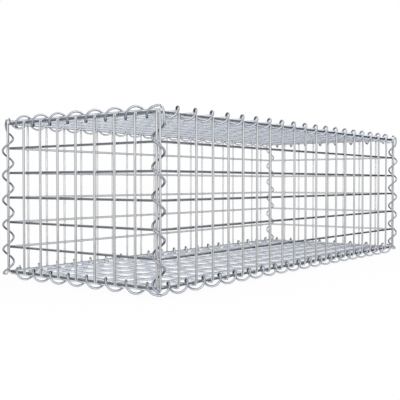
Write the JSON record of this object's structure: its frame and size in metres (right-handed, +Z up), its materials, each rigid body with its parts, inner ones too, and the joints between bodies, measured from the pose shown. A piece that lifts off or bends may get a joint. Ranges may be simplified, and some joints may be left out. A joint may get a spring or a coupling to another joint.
{
  "type": "gabion basket",
  "caption": "Empty closed gabion basket of welded galvanised wire mesh, its flat panels laced along every edge by spiral wire binders, to be filled with stones and stacked as a wall.",
  "frame": {"origin": "on the ground under the middle of the basket, level with the lowest turns of the bottom spirals", "axes": "+X along the length, +Y from the front long side to the back, +Z up"},
  "size_m": [1.0288, 0.43, 0.3293],
  "materials": {
    "mesh_wire": "galvanised, drawn wire with a soft zinc sheen",
    "spiral_wire": "galvanised, coiled wire, a little darker than the mesh"
  },
  "bodies": {
    "root": {"front_panel": "mesh_wire", "back_panel": "mesh_wire", "left_end_panel": "mesh_wire", "right_end_panel": "mesh_wire", "base_panel": "mesh_wire", "lid_panel": "mesh_wire", "top_front_spiral": "spiral_wire", "top_back_spiral": "spiral_wire", "top_left_spiral": "spiral_wire", "top_right_spiral": "spiral_wire", "bottom_front_spiral": "spiral_wire", "bottom_back_spiral": "spiral_wire", "bottom_left_spiral": "spiral_wire", "bottom_right_spiral": "spiral_wire", "front_left_spiral": "spiral_wire", "front_right_spiral": "spiral_wire", "back_left_spiral": "spiral_wire", "back_right_spiral": "spiral_wire"}
  },
  "joints": []
}
